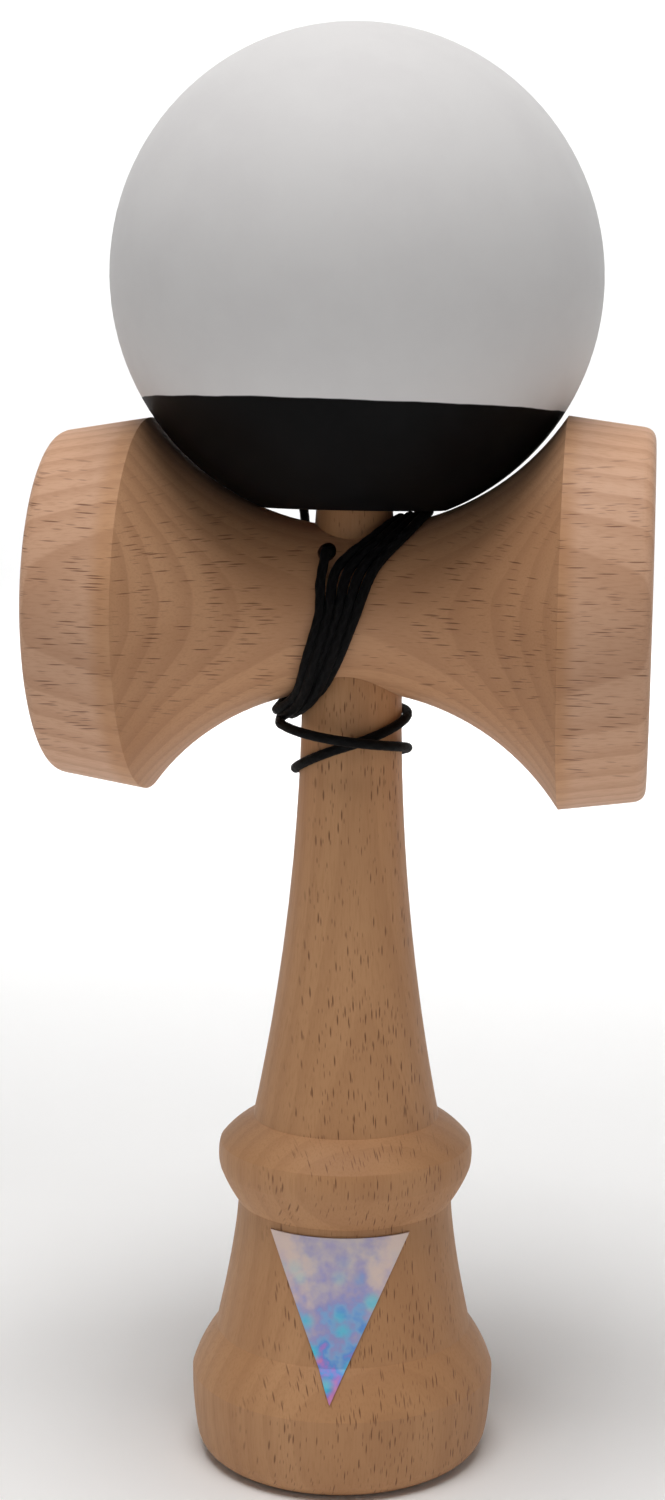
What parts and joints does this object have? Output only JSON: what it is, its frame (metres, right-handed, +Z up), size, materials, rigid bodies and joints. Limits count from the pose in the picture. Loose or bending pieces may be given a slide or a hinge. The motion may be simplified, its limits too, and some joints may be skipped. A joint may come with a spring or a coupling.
{
  "type": "kendama",
  "caption": "Wooden skill toy: a turned ken with a crosspiece of cups and a spike, and a drilled ball resting on it, tied on by a string that is wound round the crosspiece.",
  "frame": {"origin": "centre of the foot that the ken stands on", "axes": "+Z up along the ken and the spike, +X along the crosspiece towards the big cup, +Y away from the side with the sticker"},
  "size_m": [0.0736, 0.06, 0.1794],
  "materials": {
    "beech": "oiled, fine-grained beech",
    "ball_paint": "satin paint on wood, white with a black lower part",
    "bead_wood": "bare wood",
    "string": "braided cord",
    "foil": "iridescent foil"
  },
  "bodies": {
    "ken": {"ken": "beech", "sarado": "beech", "sticker": "foil", "string_winding": "string", "ken_knot": "string"},
    "bead": {"bead": "bead_wood", "bead_knot": "string", "string_lead": "string"},
    "tama": {"tama": "ball_paint"}
  },
  "joints": [
    {"name": "tama_lift", "type": "slide", "parent": "ken", "child": "bead", "axis": [0, 0, 1], "range_m": [0, 0.06], "deforming": ["string_lead"]},
    {"name": "tama_spin", "type": "hinge", "parent": "bead", "child": "tama", "pos_m": [0, 0, 0.1483], "axis": [0, 0, 1], "continuous": true}
  ]
}
